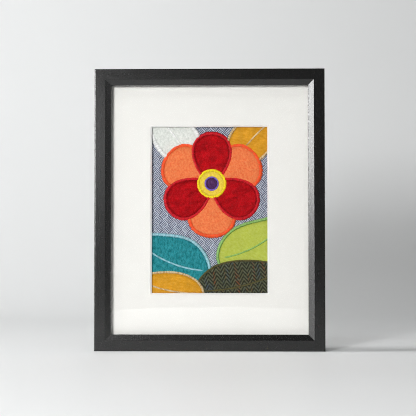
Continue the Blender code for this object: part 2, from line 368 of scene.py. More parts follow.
class Shader:
    """The nodes of one material, added with short calls."""

    def __init__(self, name, roughness, tone=(0.8, 0.8, 0.8), metallic=0.0, specular=0.5):
        self.material = bpy.data.materials.new(name)
        self.material.use_nodes = True
        self.tree = self.material.node_tree
        self.base = self.tree.nodes["Principled BSDF"]
        for socket, value in (("Base Color", tone), ("Roughness", roughness), ("Metallic", metallic),
                              ("Specular IOR Level", specular)):
            self.set(socket, value)

    def plug(self, socket, value):
        """Links an output to a socket, or sets the socket's value."""
        if isinstance(value, bpy.types.NodeSocket):
            self.tree.links.new(value, socket)
        else:
            socket.default_value = (*value, 1.0) if socket.type == "RGBA" else value

    def set(self, socket, value):
        """Sets or links a socket of the Principled shader."""
        self.plug(self.base.inputs[socket], value)

    def node(self, kind, inputs=(), **settings):
        """Adds a node, with its settings and its inputs by name or number."""
        made = self.tree.nodes.new("ShaderNode" + kind)
        for key, value in settings.items():
            setattr(made, key, value)
        for key, value in dict(inputs).items():
            self.plug(made.inputs[key], value)
        return made

    def surface(self, output):
        """Makes an output the material's surface."""
        self.plug(self.tree.nodes["Material Output"].inputs["Surface"], output)

    def math(self, operation, first, second=0.0, third=0.0):
        """One Math node."""
        return self.node("Math", {0: first, 1: second, 2: third}, operation=operation).outputs[0]

    def total(self, *parts):
        """A sum of values, each times its weight."""
        result = 0.0
        for value, weight in parts:
            result = self.math("MULTIPLY_ADD", value, weight, result)
        return result

    def wave(self, turns):
        """A sine, its angle given in whole turns."""
        return self.math("SINE", self.math("MULTIPLY", turns, 2 * math.pi))

    def axes(self, *placed, **placing):
        """The three parts of a place."""
        return self.node("SeparateXYZ", {0: self.place(*placed, **placing)}).outputs

    def mix(self, factor, first, second):
        """A blend of two colours."""
        return self.node("Mix", {0: factor, 6: first, 7: second}, data_type="RGBA").outputs[2]

    def shades(self, factor, tone, low, high):
        """A blend of two shades of one colour."""
        low, high = (tuple(min(1.0, channel * share) for channel in tone) for share in (low, high))
        return self.mix(factor, low, high)

    def tint(self, tone, level):
        """Sets the base colour to a colour times a level."""
        toned = self.node("VectorMath", {0: tone, 3: level}, operation="SCALE")
        self.set("Base Color", toned.outputs[0])

    def place(self, scale=(1.0, 1.0, 1.0), turn=0.0, uv=False):
        """Object coordinates in metres, or the piece's UV map, turned about Y and scaled."""
        source = self.node("TexCoord").outputs["UV" if uv else "Object"]
        rotation = (0.0, math.radians(turn), 0.0)
        turned = self.node("Mapping", {"Vector": source, "Rotation": rotation}).outputs[0]
        return self.node("Mapping", {"Vector": turned, "Scale": scale}).outputs[0]

    def noise(self, scale, detail=2.0, rough=0.5, turn=0.0, uv=False):
        """Noise from 0 to 1, with its scale along each axis."""
        return self.node("TexNoise", {"Vector": self.place(scale, turn, uv), "Scale": 1.0, "Detail": detail,
                                      "Roughness": rough}).outputs["Fac"]

    def ramp(self, factor, low, high, to_low=0.0, to_high=1.0):
        """A value stretched from one range to another and held at its ends."""
        return self.node("MapRange", {"Value": factor, "From Min": low, "From Max": high, "To Min": to_low,
                                      "To Max": to_high}).outputs[0]

    def finish(self, height, depth, strength):
        """Adds bump of a depth in metres, and gives the material."""
        made = self.node("Bump", {"Height": height, "Distance": depth, "Strength": strength})
        self.set("Normal", made.outputs[0])
        return self.material


def painted_wood(settings):
    """Charcoal black satin paint over a fine grain that runs along each rail (the UV map's first axis)."""
    dull = settings.paint_roughness
    shader = Shader("black_satin_paint", dull, settings.paint)
    shader.set("IOR", 1.6)
    grain = shader.noise((90.0, 1500.0, 1.0), 4.0, 0.6, uv=True)
    pores = shader.noise((350.0, 2600.0, 1.0), uv=True)
    speck = shader.noise((900.0, 900.0, 1.0), uv=True)
    shader.set("Base Color", shader.shades(shader.ramp(grain, 0.35, 0.7), settings.paint, 0.75, 1.5))
    shader.set("Roughness", shader.ramp(speck, 0.3, 0.7, dull - 0.055, dull + 0.06))
    return shader.finish(shader.total((grain, 0.6), (pores, 0.4), (speck, 0.5)), 0.00004, 0.4)


def clear_glass():
    """Clear glass that lets the lights through: what its front doesn't mirror passes straight.

    The front face mirrors twice the Fresnel share, for itself and for the back face, which is left clear.
    """
    shader = Shader("clear_glass", 0.02)
    mirror = shader.node("BsdfGlossy", {"Color": (1.0, 1.0, 1.0), "Roughness": 0.01}).outputs[0]
    through = shader.node("BsdfTransparent", {"Color": (0.985, 0.985, 0.985)}).outputs[0]
    front = shader.math("SUBTRACT", 1.0, shader.node("NewGeometry").outputs["Backfacing"])
    fresnel = shader.node("Fresnel", {"IOR": 1.45}).outputs[0]
    share = shader.math("MULTIPLY", shader.math("MULTIPLY", fresnel, front), 2.0)
    shader.surface(shader.node("MixShader", {0: share, 1: through, 2: mirror}).outputs[0])
    shader.tree.nodes.remove(shader.base)
    return shader.material


def mat_paper(settings):
    """Off-white paper, hardly clouded."""
    shader = Shader("mat_board_paper", 0.85)
    cloud = shader.ramp(shader.noise((60.0, 60.0, 60.0)), 0.3, 0.7)
    shader.set("Base Color", shader.shades(cloud, settings.board, 0.99, 1.005))
    return shader.material


def mat_core():
    """The white core that the bevelled cut shows."""
    shader = Shader("mat_board_core", 0.9)
    layer = shader.noise((200.0, 4000.0, 200.0))
    shader.set("Base Color", shader.mix(layer, (0.86, 0.86, 0.85), (0.93, 0.93, 0.92)))
    return shader.finish(layer, 0.00002, 0.5)


def ground_tweed(settings):
    """Navy and white twill in a basket pattern set on its corner.

    The two diagonal axes are cut into squares like a chessboard. On one colour of square the stripes run
    along the first axis, on the other along the second.
    """
    shader = Shader("ground_tweed", 0.92, specular=0.12)
    block, stripes = 6.48 * MM, 4.0
    first, _, second = shader.axes((1 / block, 0.0, 1 / block), 45.0)
    shift = shader.math("MULTIPLY_ADD", shader.noise((900.0, 0.0, 900.0)), 0.10, -0.05)
    waves = [shader.wave(shader.total((axis, stripes), (shift, stripes))) for axis in (first, second)]
    board = shader.math("PINGPONG", shader.math("ADD", shader.math("FLOOR", first),
                                                shader.math("FLOOR", second)), 1.0)
    wave = shader.total((waves[0], board), (waves[1], shader.math("SUBTRACT", 1.0, board)))
    woven = shader.math("ADD", wave, shader.noise((1500.0, 0.0, 1500.0)))
    mottle = shader.noise((260.0, 0.0, 260.0))
    dark = shader.shades(mottle, settings.ground_dark, 0.8, 1.25)
    pale = shader.shades(mottle, settings.ground_light, 0.85, 1.1)
    shader.set("Base Color", shader.mix(shader.ramp(woven, 0.1, 0.95), dark, pale))
    return shader.finish(woven, 0.00012, 0.8)


# The herringbone's yarns, from one side of the noise that picks them to the other, and its fleck.
YARNS = ((0.34, (0.068, 0.100, 0.135)), (0.43, (0.080, 0.100, 0.057)), (0.57, (0.125, 0.125, 0.063)),
         (0.64, (0.225, 0.072, 0.026)))
PALE_FLECK = (0.150, 0.160, 0.110)


def herringbone_tweed(settings):
    """Dark herringbone: rows of slanting stripes whose slant turns at each column, in mixed yarns.

    The stripe's phase is height/pitch + rise * zigzag, where zigzag runs 0 to 1 and back over two columns,
    and a column is as wide as the pitch.
    """
    shader = Shader("herringbone_tweed", 0.95, specular=0.12)
    turn, pitch, rise = 8.0, 4.3 * MM, 1.42
    across, _, up = shader.axes((1 / pitch, 0.0, 1 / pitch), turn)
    zigzag = shader.math("PINGPONG", across, 1.0)
    wave = shader.wave(shader.total((up, 1.0), (zigzag, rise), (shader.noise((1100.0, 0.0, 1100.0)), 0.22)))
    strand = shader.noise((1700.0, 0.0, 1700.0), turn=turn)
    light = shader.ramp(shader.total((wave, 1.0), (strand, 1.6)), 0.3, 1.4)
    warp = shader.noise((230.0, 0.0, 26.0), 1.0, turn=turn)
    fleck = shader.noise((520.0, 0.0, 330.0), 1.0, turn=turn)
    tones = shader.node("ValToRGB", {0: warp})
    stops = tones.color_ramp.elements
    for index, (at, tone) in enumerate(YARNS):
        stop = stops[index] if index < 2 else stops.new(at)
        stop.position, stop.color = at, (*tone, 1.0)
    pale = shader.mix(shader.ramp(fleck, 0.42, 0.66), tones.outputs[0], PALE_FLECK)
    shader.set("Base Color", shader.mix(light, settings.cloths.tweed, pale))
    return shader.finish(shader.math("ADD", wave, strand), 0.00018, 0.8)


# Of each plain cloth: how much its fine flecks change the red, green and blue, how much its soft blotches
# change the tone, how far the flecks are drawn out along the warp, the warp's turn in degrees, how deep the
# shade painted into its creases is, and how much painted shade darkens it along its edging.
WOOLS = {
    "white": ((0.14, 0.13, 0.14), 0.03, 1.3, 30.0, 0.03, 0.10),
    "ochre": ((0.08, 0.15, 0.75), 0.10, 2.5, 80.0, 0.12, 0.22),
    "teal": ((0.95, 0.42, 0.42), 0.06, 1.9, 4.0, 0.05, 0.25),
    "lime": ((0.08, 0.07, 0.40), 0.04, 1.5, 60.0, 0.05, 0.15),
    "orange": ((0.05, 0.34, 0.46), 0.04, 1.2, 20.0, 0.05, 0.15),
    "red": ((0.22, 0.75, 0.75), 0.20, 1.4, 15.0, 0.45, 0.55),
    "yellow": ((0.08, 0.16, 0.50), 0.05, 1.2, 0.0, 0.04, 0.15),
    "plum": ((0.35, 0.50, 0.35), 0.10, 1.3, 45.0, 0.10, 0.3),
}


def wool_cloth(name, base, fleck, blotch, stretch, turn, crease_shade, edge):
    """A fulled wool: fine twill relief, flecks drawn out along the warp, soft blotches, and painted shade in
    faint creases and along its edging.

    The UV map's second axis is the distance in from the sewn line, in centimetres.
    """
    shader = Shader(name + "_wool", 0.93, specular=0.06)
    cloud = shader.noise((120.0, 0.0, 120.0))
    crease_shade_noise = shader.noise((60.0, 0.0, 190.0), 3.0, 0.6, turn)
    flecks = shader.noise((520.0, 0.0, 520.0 / stretch), 2.0, 0.55, turn)
    inward = shader.axes(uv=True)[1]
    # Painted shade: the level darkens in the noise creases and over the first few millimetres in from the
    # sewn line.
    level = shader.math("MULTIPLY", shader.ramp(cloud, 0.3, 0.7, 1 - blotch, 1 + blotch),
                        shader.ramp(crease_shade_noise, 0.3, 0.55, 1 - crease_shade, 1.0))
    level = shader.math("MULTIPLY", level, shader.ramp(inward, 0.13, 0.38, 1 - edge, 1.0))
    low, high = [tuple(c * (1 + sign * f) for c, f in zip(base, fleck)) for sign in (-1, 1)]
    shader.tint(shader.mix(shader.ramp(flecks, 0.32, 0.68), low, high), level)
    wale = 0.9 * MM
    across, _, up = shader.axes((1 / wale, 0.0, 1 / wale), turn)
    twill = shader.wave(shader.math("ADD", across, up))
    fuzz = shader.noise((2600.0, 2600.0, 2600.0), 3.0, 0.7)
    return shader.finish(shader.total((twill, 0.25), (fuzz, 0.5), (flecks, 1.5)), 0.0001, 0.8)


def embroidery_thread(name, base):
    """Thread whose tone changes from stitch to stitch, that thins out here and there, and that carries
    painted shade at the stitches' inner ends.

    The UV map's first axis counts the stitches, and its second runs across the row.
    """
    shader = Shader(name + "_thread", 0.6, specular=0.16)
    tone, share, inner = CLOTHS[name][2:5]
    count, across, _ = shader.axes(uv=True)

    def drift(pace, detail):
        """Noise from 0 to 1 along the row."""
        return shader.node("TexNoise", {"W": shader.math("MULTIPLY", count, pace), "Scale": 1.0,
                                        "Detail": detail}, noise_dimensions="1D").outputs["Fac"]
    stitch = shader.node("TexWhiteNoise", {"W": shader.math("FLOOR", count)},
                         noise_dimensions="1D").outputs["Value"]
    level = shader.math("ADD", shader.ramp(stitch, 0.0, 1.0, -0.10, 0.08),
                        shader.ramp(drift(0.06, 1.0), 0.3, 0.7, 0.92, 1.06))
    # Painted shade: towards the stitches' inner ends the thread darkens to the same tone that shows where it
    # thins out.
    thinned_and_shaded = shader.math("MAXIMUM", shader.ramp(drift(0.24, 2.0), 0.46, 0.62, 0.0, share),
                       shader.ramp(across, 0.62, 0.8, 0.0, inner * 0.8))
    shader.tint(shader.mix(thinned_and_shaded, base, tone), level)
    return shader.finish(shader.noise((3.0, 14.0, 1.0), uv=True), 0.00004, 0.6)


def hardboard():
    """Brown hardboard: matt, with fine darker fibres."""
    shader = Shader("backing_hardboard", 0.8)
    fibre = shader.noise((700.0, 700.0, 700.0), 4.0, 0.7)
    cloud = shader.noise((30.0, 30.0, 30.0))
    tone = shader.mix(shader.ramp(fibre, 0.35, 0.65), (0.16, 0.088, 0.045), (0.30, 0.185, 0.105))
    shader.set("Base Color", shader.mix(shader.ramp(cloud, 0.3, 0.7, 0.0, 0.35), tone, (0.22, 0.13, 0.07)))
    return shader.finish(fibre, 0.00005, 0.6)


def zinc_steel():
    """Dull zinc-coated steel with a fine spangle."""
    shader = Shader("tab_steel", 0.38, (0.50, 0.51, 0.53), 1.0)
    spangle = shader.noise((900.0, 900.0, 900.0))
    shader.set("Roughness", shader.ramp(spangle, 0.3, 0.7, 0.3, 0.5))
    return shader.finish(spangle, 0.00002, 0.4)


# Stitching and cloth

def uppers(index):
    """Sewn lines of the motifs that lie over one, where their boxes meet."""
    own = outline(MOTIFS[index])
    lines = [outline(motif, 240) for motif in MOTIFS[index + 1:]]
    return [line for line in lines if np.all(line.min(0) < own.max(0)) and np.all(own.min(0) < line.max(0))]


def clearance(points, lines):
    """Distance from points to the nearest of several sewn lines, negative inside one; far away if none."""
    clear = np.full(len(points), 1000.0)
    for line in lines:
        clear = np.minimum(clear, signed_distance(points, line))
    return clear


def longest_run(shown):
    """First and last number of the longest run of true values in a ring, the last counted past the end."""
    start = int(np.argmin(shown))
    turned = np.roll(shown, -start).astype(int)
    edges = np.flatnonzero(np.diff(np.concatenate([[0], turned, [0]])))
    begins, ends = edges[0::2], edges[1::2]
    best = int(np.argmax(ends - begins))
    return begins[best] + start, ends[best] - 1 + start


def wander(along, length, periods, chance):
    """A slow wave along a path of a length, that joins at its ends: sines of about the given periods."""
    wave = np.zeros(np.shape(along))
    for period in periods:
        turns = max(1, int(round(length / period * chance.uniform(0.8, 1.25))))
        wave = wave + np.sin(2 * math.pi * turns * along / length + chance.uniform(0, 6.3))
    return wave / math.sqrt(len(periods))


def ripples(x, z, sizes, count, chance):
    """A sum of straight waves, each with a heading, length and start of its own."""
    total = np.zeros(x.shape)
    for _ in range(count):
        heading, size, start = chance.uniform(0, 2 * math.pi), chance.uniform(*sizes), chance.uniform(0, 6)
        total += np.sin(2 * math.pi * (x * math.cos(heading) + z * math.sin(heading)) / size + start)
    return total


def band(name, at, length, closed, half, feet, crown, pitch, slant, ragged, seed, taper=0.0):
    """A row of stitches along a path, as one skin.

    Along the path each stitch is a round ridge, sqrt(1 - (2f - 1)^2) over its fraction f. Across it the skin
    is an arch, crown * sin(pi v)^0.6 over a slope from the outer to the inner foot. The row's half width
    swells and shrinks in slow waves, each stitch reaches further or less at both ends, most at the inner
    one, and it slants by moving along the path with v.
    """
    chance = np.random.default_rng(seed)
    count = max(3, int(round(length / pitch)))
    pitch = length / count
    stitch = np.repeat(np.arange(count), len(STITCH_POINTS))
    along = (np.arange(count)[:, None] + STITCH_POINTS[None]).ravel()
    ridge = np.tile(np.sqrt(1 - (2 * STITCH_POINTS - 1) ** 2), count)
    if not closed:
        stitch, along, ridge = np.append(stitch, count - 1), np.append(along, count), np.append(ridge, 0.0)
    v = (1 - np.cos(np.linspace(0.0, math.pi, ROW_POINTS))) / 2
    swell = [half * (1 + SWELL * wander(np.arange(count) * pitch, length, SWELL_LENGTHS, chance))
             for _ in range(2)]
    uneven = ragged * np.array([chance.uniform(-0.5, 0.5, count), chance.uniform(-0.6, 1.0, count)])
    reach = (np.array(swell) + uneven)[:, stitch]
    reach = reach - ragged * 0.5 * np.where(ridge > 0.5, 0.0, 1.0)
    ends = np.ones(len(along))
    if taper:
        ends = np.sqrt(np.clip(np.minimum(along, count - along) * pitch / taper, 0.05, 1.0))
    offset = np.where(v < 0.5, reach[0][:, None], reach[1][:, None]) * (1 - 2 * v)[None] * ends[:, None]
    arch = np.sin(math.pi * v) ** 0.6
    height = (feet[0] * (1 - v) + feet[1] * v)[None] + ends[:, None] * crown * arch[None]
    height = height + RIDGE * ridge[:, None] * (0.35 + 0.65 * arch)[None]
    place = along[:, None] * pitch + slant * (v - 0.5)[None]
    x, z, nx, nz = at(place if closed else np.clip(place, 0.0, length))
    points = on_picture(x + nx * offset, z + nz * offset, height)
    uv = np.stack(np.broadcast_arrays((along + 0.001)[:, None], v[None]), axis=-1)
    piece = tube(name, points, uv, closed)
    tidy(piece, merge=0.000002)
    return piece


def sewn_path(line, start=0.0):
    """A closed line as a function of length: point and outward normal, from a starting length on."""
    step = np.linalg.norm(np.roll(line, -1, axis=0) - line, axis=1)
    length = step.sum()
    marks = np.concatenate([[0.0], np.cumsum(step)[:-1]])
    along = np.roll(line, -1, axis=0) - np.roll(line, 1, axis=0)
    along /= np.linalg.norm(along, axis=1)[:, None]

    def at(s):
        values = [np.interp(s + start, marks, values, period=length) for values in
                  (line[:, 0], line[:, 1], along[:, 1], -along[:, 0])]
        size = np.hypot(values[2], values[3])
        return values[0], values[1], values[2] / size, values[3] / size
    return at, length, marks


def edging(index, settings):
    """The satin-stitched edging of one motif, along as much of its sewn line as nothing covers."""
    motif = MOTIFS[index]
    line = outline(motif, 1440)
    shown = clearance(line, uppers(index)) > 0.45
    broad = CLOTHS[motif.cloth][5]
    at, length, marks = sewn_path(line)
    closed = bool(shown.all())
    if not closed:
        first, last = longest_run(shown)
        begin = marks[first % len(line)]
        end = marks[last % len(line)]
        at, _, _ = sewn_path(line, begin)
        length = (end - begin) % length
    return band("edging_" + motif.name, at, length, closed, half=settings.edging / MM * broad,
                feet=(-0.05, 0.95), crown=1.3, pitch=settings.stitch / MM, slant=0.25,
                ragged=0.36 * broad ** 2, seed=EDGING_SEED + index)


def vein(index):
    """The stitched vein of one leaf: long slanting stitches that overlap like a rope."""
    motif = MOTIFS[index]
    span = np.linspace(*VEIN_SPAN, 400)
    px, pz, angle = middle_line(motif, span)
    shown = clearance(np.stack([px, pz], axis=1), uppers(index)) > 0.6
    px, pz, angle = px[shown], pz[shown], angle[shown]
    marks = np.concatenate([[0.0], np.cumsum(np.hypot(np.diff(px), np.diff(pz)))])

    def at(s):
        turn = np.interp(s, marks, angle)
        return np.interp(s, marks, px), np.interp(s, marks, pz), -np.sin(turn), np.cos(turn)
    return band("vein_" + motif.name, at, marks[-1], False, half=0.8, feet=(1.15, 1.15), crown=0.65,
                pitch=1.15, slant=1.9, ragged=0.1, seed=VEIN_SEED + index, taper=1.2)


def cloth(index, settings):
    """One applique cloth, as a skin over the motif: across the middle line by w, along it by (1 + cos a)/2.

    It is held down at its sewn line and its vein, swells between them, ripples a little, and is pressed flat
    where another cloth covers it.
    """
    motif = MOTIFS[index]
    rows = max(16, int(motif.length / POINT_SPACE))
    columns = max(15, int(motif.width / POINT_SPACE))
    a = np.linspace(0.0, math.pi, rows)[:, None]
    w = np.sin(np.linspace(-math.pi / 2, math.pi / 2, columns))[None]
    px, pz, angle = middle_line(motif, (1 + np.cos(a)) / 2)
    half = half_width(motif, a)
    x, z = px - w * half * np.sin(angle), pz + w * half * np.cos(angle)
    points = np.stack([x.ravel(), z.ravel()], axis=1)
    inward = -np.minimum(signed_distance(points, outline(motif, 240)), 0.0).reshape(x.shape)
    clear = clearance(points, uppers(index)).reshape(x.shape)
    height = CLOTH_HEIGHT + settings.puff / MM * ease(inward / 6.0)
    chance = np.random.default_rng(CLOTH_SEED + index)
    height = height + 0.05 * ease(inward / 3.0) * ripples(x, z, (7.0, 18.0), 5, chance)
    height = height + 0.07 * np.exp(-inward / 1.6) * np.sin(a * motif.length)
    height = height - 0.12 * np.exp(-((clear - 1.25) / 1.2) ** 2)
    if motif.vein:
        near_vein = np.exp(-(w * half / 1.6) ** 2) * ease((1 - np.abs(np.cos(a))) * 6)
        height = height - 0.3 * near_vein
    height = PRESSED_HEIGHT + (height - PRESSED_HEIGHT) * ease((clear + 0.3) / 1.1)
    uv = np.stack([px * np.ones_like(x) / 10, inward / 10], axis=-1)
    piece = new_mesh("cloth_" + motif.name, on_picture(x, z, height), grid_quads(rows, columns), uv)
    tidy(piece)
    thicken(piece, CLOTH_THICK)
    return piece


def flat_size(motif):
    """The box along and across a motif that its cloth is cut from, and the cut's area, in metres."""
    line = outline(motif) * MM
    turn = math.radians(motif.heading)
    along = line @ np.array([math.cos(turn), math.sin(turn)])
    across = line @ np.array([-math.sin(turn), math.cos(turn)])
    after = np.roll(line, -1, axis=0)
    area = abs((line[:, 0] * after[:, 1] - line[:, 1] * after[:, 0]).sum()) / 2
    return (float(np.ptp(across)), float(np.ptp(along))), float(area)


class PictureOperator:
    """What the operators share."""

    bl_options = {"REGISTER", "UNDO"}

    def execute(self, context):
        """Builds the pieces with the scene's settings."""
        self.build(context.scene.textile_picture)
        return {"FINISHED"}


class TEXTILE_PICTURE_OT_frame(PictureOperator, bpy.types.Operator):
    """Adds the four mitred rails of the painted moulding"""

    bl_idname = "textile_picture.frame"
    bl_label = "Painted frame"

    def build(self, settings):
        paint = painted_wood(settings)
        low, high = (np.array(corner) for corner in CAD_BOX)
        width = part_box("rail_left")[1][0] - low[0]
        depth = high[1] - low[1]
        corners = ((width, depth), (width, 0.0), (BEVEL, 0.0), (0.0, DROP), (0.0, LIP), (REBATE, LIP),
                   (REBATE, depth))
        section = rounded(corners, np.array(CORNER_SHARES) * settings.arris)
        span = np.concatenate([[0.0], np.cumsum(np.linalg.norm(np.diff(section, axis=0), axis=1))])
        sight = (high - low) / 2 - width
        for turn, name in enumerate(("rail_bottom", "rail_right", "rail_top", "rail_left")):
            along_half, across_half = (sight[0], sight[2]) if turn % 2 == 0 else (sight[2], sight[0])
            cos, sin = (1, 0, -1, 0)[turn], (0, 1, 0, -1)[turn]
            rows, uv = [], []
            for part in np.linspace(-1.0, 1.0, RAIL_ROWS):
                along = part * (along_half + section[:, 0] - MITRE_GAP)
                across = -(across_half + section[:, 0])
                rows.append(np.stack([along * cos - across * sin, low[1] + section[:, 1],
                                      along * sin + across * cos + CENTRE_Z], axis=1))
                uv.append(np.stack([along + turn, span], axis=1))
            piece = tube("painted_" + name, np.array(rows), np.array(uv))
            tidy(piece, merge=0.000005, angle=40.0)
            dress(piece, name, "black_painted_wood", paint)


class TEXTILE_PICTURE_OT_glazing(PictureOperator, bpy.types.Operator):
    """Gives the sheet of glass its clear finish"""

    bl_idname = "textile_picture.glazing"
    bl_label = "Glazing"

    def build(self, settings):
        finish_solid("glazing", clear_glass())


class TEXTILE_PICTURE_OT_mat(PictureOperator, bpy.types.Operator):
    """Adds the mat board with its bevelled window"""

    bl_idname = "textile_picture.mat"
    bl_label = "Window mat"

    def build(self, settings):
        low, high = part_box("window_mat")
        thick = high[1] - low[1]
        half = np.array([(high[0] - low[0]) / 2, (high[2] - low[2]) / 2])
        window = np.array(WINDOW) / 2
        rings = []
        for size, y in ((half, low[1]), (window + thick + CUT_EDGE, low[1]),
                        (window + thick - CUT_EDGE / 3, low[1] + CUT_EDGE),
                        (window + CUT_EDGE / 3, high[1] - CUT_EDGE), (window + CUT_EDGE, high[1]),
                        (half, high[1])):
            corner = np.array([(-1, -1), (1, -1), (1, 1), (-1, 1)]) * size
            rings.append(np.stack([corner[:, 0], np.full(4, y), corner[:, 1] + CENTRE_Z], axis=1))
        piece = new_mesh("mat_board", np.array(rings), grid_quads(6, 4, True, True), smooth=False)
        tidy(piece, merge=0.000005)
        core = np.array([abs(face.normal[1]) < 0.9 and abs(face.center[0]) < half[0] * 0.9
                         and abs(face.center[2] - CENTRE_Z) < half[1] * 0.9 for face in piece.data.polygons])
        dress(piece, "window_mat", "white_mat_board", mat_paper(settings), mat_core())
        piece.data.polygons.foreach_set("material_index", core.astype(np.int32))


class TEXTILE_PICTURE_OT_ground(PictureOperator, bpy.types.Operator):
    """Adds the tweed that everything is sewn on"""

    bl_idname = "textile_picture.ground"
    bl_label = "Ground tweed"

    def build(self, settings):
        low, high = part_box("ground_cloth")
        wide, tall = (high[0] - low[0]) / 2 / MM, (high[2] - low[2]) / 2 / MM
        x, z = np.meshgrid(np.linspace(-wide, wide, 124), np.linspace(-tall, tall, 157))
        points = np.stack([x.ravel(), z.ravel()], axis=1)
        clear = np.concatenate([clearance(part, [outline(m, 120) for m in MOTIFS])
                                for part in np.array_split(points, 8)]).reshape(x.shape)
        chance = np.random.default_rng(GROUND_SEED)
        height = -0.1 * np.exp(-((clear - 1.2) / 1.5) ** 2)
        height = np.minimum(height + 0.03 * ripples(x, z, (12.0, 40.0), 6, chance), 0.12)
        piece = new_mesh("tweed_ground", on_picture(x, z, height), grid_quads(*x.shape))
        thicken(piece, GROUND_THICK)
        dress(piece, "ground_cloth", "blue_tweed", ground_tweed(settings))


class TEXTILE_PICTURE_OT_cloths(PictureOperator, bpy.types.Operator):
    """Adds the applique cloths of the leaves and the flower"""

    bl_idname = "textile_picture.cloths"
    bl_label = "Applique cloths"

    def build(self, settings):
        wools = {name: wool_cloth(name, getattr(settings.cloths, name), *look)
                 for name, look in WOOLS.items()}
        wools["tweed"] = herringbone_tweed(settings)
        for index, motif in enumerate(MOTIFS):
            fabric = motif.cloth
            piece = dress(cloth(index, settings), motif.name, fabric + "_cloth", wools[fabric])
            size, area = flat_size(motif)


class TEXTILE_PICTURE_OT_stitching(PictureOperator, bpy.types.Operator):
    """Adds the satin-stitched edgings and the stitched leaf veins"""

    bl_idname = "textile_picture.stitching"
    bl_label = "Stitching"

    def build(self, settings):
        threads = {name: embroidery_thread(name, getattr(settings.threads, name))
                   for name in (*WOOLS, "tweed")}
        for index, motif in enumerate(MOTIFS):
            slot = motif.cloth + "_thread"
            dress(edging(index, settings), motif.name + "_edging", slot, threads[motif.cloth])
            if motif.vein:
                dress(vein(index), motif.name + "_vein", slot, threads[motif.cloth])


class TEXTILE_PICTURE_OT_back(PictureOperator, bpy.types.Operator):
    """Finishes the backing board and adds the steel tabs that hold it"""

    bl_idname = "textile_picture.back"
    bl_label = "Back"

    def build(self, settings):
        finish_solid("backing_board", hardboard())
        steel = zinc_steel()
        for node in ("tab_top", "tab_bottom", "tab_left_high", "tab_left_low", "tab_right_high",
                     "tab_right_low"):
            low, high = (np.array(corner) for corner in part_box(node))
            centre, half = (low + high) / 2, (high - low) / 2
            sideways = half[0] > half[2]
            way = np.sign(centre[0] if sideways else centre[2] - CENTRE_Z)
            length, breadth = (half[0], half[2]) if sideways else (half[2], half[0])
            plan = rounded(np.array(TAB_PLAN) * (length, breadth), [TAB_CORNER] * len(TAB_PLAN), 5)
            rows = []
            for inset, y in ((TAB_EDGE, low[1]), (0.0, low[1] + TAB_EDGE), (0.0, high[1] - TAB_EDGE),
                             (TAB_EDGE, high[1])):
                flat = plan * (1 - inset / breadth)
                x = centre[0] + (flat[:, 0] * way if sideways else flat[:, 1])
                z = centre[2] + (flat[:, 1] if sideways else flat[:, 0] * way)
                rows.append(np.stack([x, np.full(len(flat), y), z], axis=1))
            piece = tube("steel_" + node, np.array(rows))
            tidy(piece, merge=0.000005, angle=30.0)
            dress(piece, node, "galvanised_steel", steel)


# The floor, in metres: its front edge, where it starts to curve up, the curve's radius, the wall's top, how
# round the front edge is, and half the floor's width.
FLOOR_FRONT, FLOOR_BACK, CURVE, WALL_TOP, FRONT_ROUND, FLOOR_HALF = -0.93, 0.50, 0.35, 1.6, 0.18, 1.6
# The camera: its place, how far it looks up and to the left in degrees, and its lens in picture widths.
CAMERA_X, CAMERA_Z = 0.0235, 0.0977
LOOKS_UP, LOOKS_LEFT = 2.012, 1.2
SENSOR, FOCAL = 36.0, 1219.0 / 416.0
# The soft lamps: name, degrees to the left of the front, degrees up, metres away, width, height, watts.
SOFT_LAMPS = (
    ("front", 18.0, 16.0, 1.4, 0.20, 0.20, 5.1),
    ("low_front", 24.0, 8.0, 1.4, 0.20, 0.20, 3.5),
    ("far_front", 20.0, 8.7, 2.4, 0.35, 0.40, 22.0),
    ("high_front", 18.0, 58.0, 1.4, 0.20, 0.20, 1.7),
    ("left", 85.0, 40.0, 1.4, 0.20, 0.20, 6.4),
    ("high_left", 83.0, 58.0, 1.4, 0.20, 0.20, 4.7),
    ("overhead", 0.0, 66.0, 1.5, 0.60, 0.60, 2.4),
)
# Small lamps that only shine in reflections, in the paint and the threads: degrees left and up, watts. Then
# how far away they are and how wide.
SHINE_LAMPS = (
    (61.0, 8.0, 10.0), (53.0, 16.0, 3.0), (45.0, 8.0, 2.2), (37.0, 1.0, 8.0), (30.0, 1.0, 1.0),
    (18.0, 8.0, 1.0), (18.0, 16.0, 1.6), (30.0, 58.0, 3.5), (-60.0, 16.0, 0.9), (-60.0, 1.0, 0.5),
)
SHINE_AWAY, SHINE_SIZE = 1.4, 0.20


